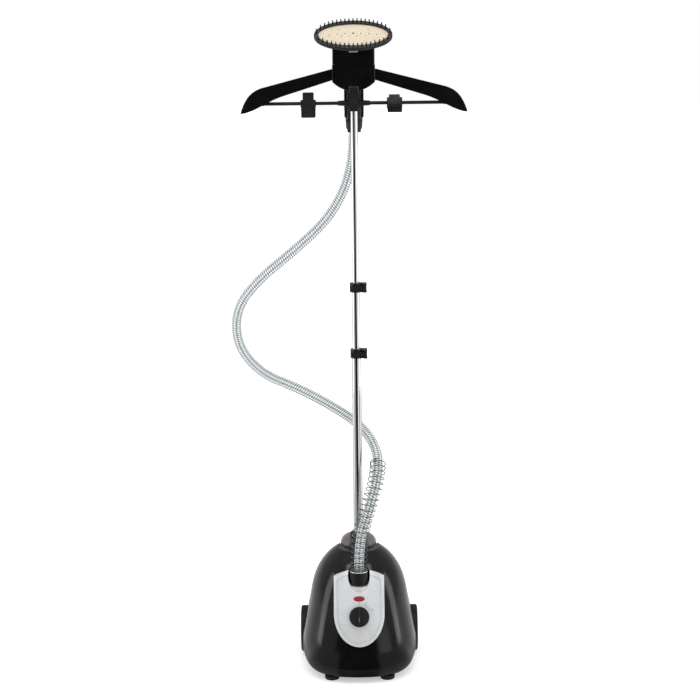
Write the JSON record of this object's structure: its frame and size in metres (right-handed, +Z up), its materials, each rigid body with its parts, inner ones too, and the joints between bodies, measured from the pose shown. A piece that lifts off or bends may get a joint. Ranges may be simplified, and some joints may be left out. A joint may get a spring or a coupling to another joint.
{
  "type": "garment steamer",
  "caption": "Upright garment steamer with an egg-shaped black base on wheels, chromed telescopic pole, hanger with clips, and a steam head on a net-covered hose",
  "frame": {"origin": "on the floor, under the middle of the object's box without its hose", "axes": "+Z up along the pole, -Y the front with the control panel, +X to the right of a person facing the front"},
  "size_m": [0.5377, 0.3009, 1.4976],
  "materials": {
    "gloss_black": "moulded glossy black ABS",
    "black_plastic": "satin black plastic",
    "silver_panel": "silver lacquered plastic",
    "red_lens": "translucent red plastic",
    "cap_brown": "smoked grey-brown plastic",
    "clear_tank": "translucent plastic",
    "chromed_tube": "polished chromed steel tube",
    "steel": "plain steel",
    "cast_aluminium": "die cast aluminium",
    "beige_plate": "beige enamelled plate",
    "rubber_black": "soft black rubber",
    "grey_trim": "light grey plastic",
    "hose_net": "translucent hose with a woven net"
  },
  "bodies": {
    "base": {"chassis": "black_plastic", "chassis_screws": "steel", "front_housing": "gloss_black", "top_cover": "gloss_black", "front_feet": "rubber_black", "tank_well": "clear_tank", "control_panel": "silver_panel", "indicator_lens": "red_lens", "rotary_switch": "black_plastic", "steam_outlet": "silver_panel", "boiler": "cast_aluminium", "thermostat": "black_plastic", "steam_pipe": "grey_trim", "feed_pipe": "rubber_black", "mains_gland": "black_plastic", "axle": "steel", "pole_sleeve": "black_plastic", "lower_tube": "chromed_tube", "lower_clamp": "black_plastic", "lower_clamp_pin": "steel", "steam_hose": "hose_net", "hose_spring": "steel"},
    "middle_pole": {"middle_tube": "chromed_tube", "middle_glide_bush": "grey_trim", "upper_clamp": "black_plastic", "upper_clamp_pin": "steel"},
    "upper_pole": {"top_tube": "chromed_tube", "top_glide_bush": "grey_trim", "pole_adapter": "black_plastic", "cradle": "gloss_black", "hanger_arm_left": "gloss_black", "hanger_arm_right": "gloss_black", "rod_left": "black_plastic", "rod_right": "black_plastic"},
    "lower_lever": {"lower_clamp_lever": "black_plastic"},
    "upper_lever": {"upper_clamp_lever": "black_plastic"},
    "left_wheel": {"wheel_left": "black_plastic", "tyre_left": "rubber_black"},
    "right_wheel": {"wheel_right": "black_plastic", "tyre_right": "rubber_black"},
    "dial": {"knob": "black_plastic"},
    "tank": {"water_tank": "clear_tank", "tank_cap": "cap_brown", "tank_valve": "clear_tank"},
    "outlet_nut": {"hose_nut": "black_plastic"},
    "left_clip_slider": {"clip_sleeve_left": "black_plastic"},
    "left_clip": {"clip_back_left": "black_plastic"},
    "left_jaw": {"clip_front_left": "black_plastic"},
    "right_clip_slider": {"clip_sleeve_right": "black_plastic"},
    "right_clip": {"clip_back_right": "black_plastic"},
    "right_jaw": {"clip_front_right": "black_plastic"},
    "steam_head": {"head_shell": "gloss_black", "handle": "black_plastic", "handle_screws": "steel", "side_grips": "rubber_black", "hose_cuff": "rubber_black", "head_gasket": "rubber_black", "steam_plate": "beige_plate"},
    "brush": {"brush_frame": "black_plastic"},
    "latch": {"brush_latch": "grey_trim"}
  },
  "joints": [
    {"name": "pole_height", "type": "slide", "parent": "base", "child": "upper_pole", "axis": [0, 0, 1], "range_m": [-0.5, 0.08], "deforming": ["steam_hose"]},
    {"name": "middle_height", "type": "slide", "parent": "base", "child": "middle_pole", "axis": [0, 0, 1], "range_m": [-0.125, 0.02]},
    {"name": "lower_lever_hinge", "type": "hinge", "parent": "base", "child": "lower_lever", "pos_m": [0.02, -0.024, 0.7495], "axis": [0, 0, 1], "range_deg": [0, 110]},
    {"name": "upper_lever_hinge", "type": "hinge", "parent": "middle_pole", "child": "upper_lever", "pos_m": [0.02, -0.024, 0.9015], "axis": [0, 0, 1], "range_deg": [0, 110]},
    {"name": "left_wheel_spin", "type": "hinge", "parent": "base", "child": "left_wheel", "pos_m": [-0.1265, 0.07, 0.055], "axis": [1, 0, 0], "continuous": true},
    {"name": "right_wheel_spin", "type": "hinge", "parent": "base", "child": "right_wheel", "pos_m": [0.1265, 0.07, 0.055], "axis": [1, 0, 0], "continuous": true},
    {"name": "dial_turn", "type": "hinge", "parent": "base", "child": "dial", "pos_m": [0, -0.12784, 0.157], "axis": [0, -0.9429, 0.333], "range_deg": [-20, 250]},
    {"name": "tank_lift", "type": "slide", "parent": "base", "child": "tank", "axis": [0, 0, 1], "range_m": [0, 0.2]},
    {"name": "nut_turn", "type": "hinge", "parent": "base", "child": "outlet_nut", "pos_m": [0, -0.08, 0.235], "axis": [0, 0, 1], "continuous": true},
    {"name": "head_lift", "type": "slide", "parent": "upper_pole", "child": "steam_head", "axis": [0, 0, 1], "range_m": [0, 0.075], "deforming": ["steam_hose"]},
    {"name": "brush_pull", "type": "slide", "parent": "steam_head", "child": "brush", "axis": [0, -0.7071, 0.7071], "range_m": [0, 0.03]},
    {"name": "latch_press", "type": "slide", "parent": "steam_head", "child": "latch", "axis": [0, 0, 1], "range_m": [0, 0.001], "stiffness_N_per_m": 200},
    {"name": "left_clip_slide", "type": "slide", "parent": "upper_pole", "child": "left_clip_slider", "axis": [1, 0, 0], "range_m": [-0.009, 0.041]},
    {"name": "left_clip_swivel", "type": "hinge", "parent": "left_clip_slider", "child": "left_clip", "pos_m": [-0.101, -0.015, 1.314], "axis": [1, 0, 0], "range_deg": [-30, 60]},
    {"name": "left_clip_open", "type": "hinge", "parent": "left_clip", "child": "left_jaw", "pos_m": [-0.101, -0.015, 1.314], "axis": [-1, 0, 0], "range_deg": [0, 16], "stiffness_Nm_per_rad": 0.4},
    {"name": "right_clip_slide", "type": "slide", "parent": "upper_pole", "child": "right_clip_slider", "axis": [1, 0, 0], "range_m": [-0.03, 0.025]},
    {"name": "right_clip_swivel", "type": "hinge", "parent": "right_clip_slider", "child": "right_clip", "pos_m": [0.09, -0.015, 1.314], "axis": [1, 0, 0], "range_deg": [-20, 30]},
    {"name": "right_clip_open", "type": "hinge", "parent": "right_clip", "child": "right_jaw", "pos_m": [0.09, -0.015, 1.314], "axis": [-1, 0, 0], "range_deg": [0, 16], "stiffness_Nm_per_rad": 0.4}
  ],
  "couplings": [
    {"joint": "middle_height", "follows": "pole_height", "ratio": 0.25}
  ]
}
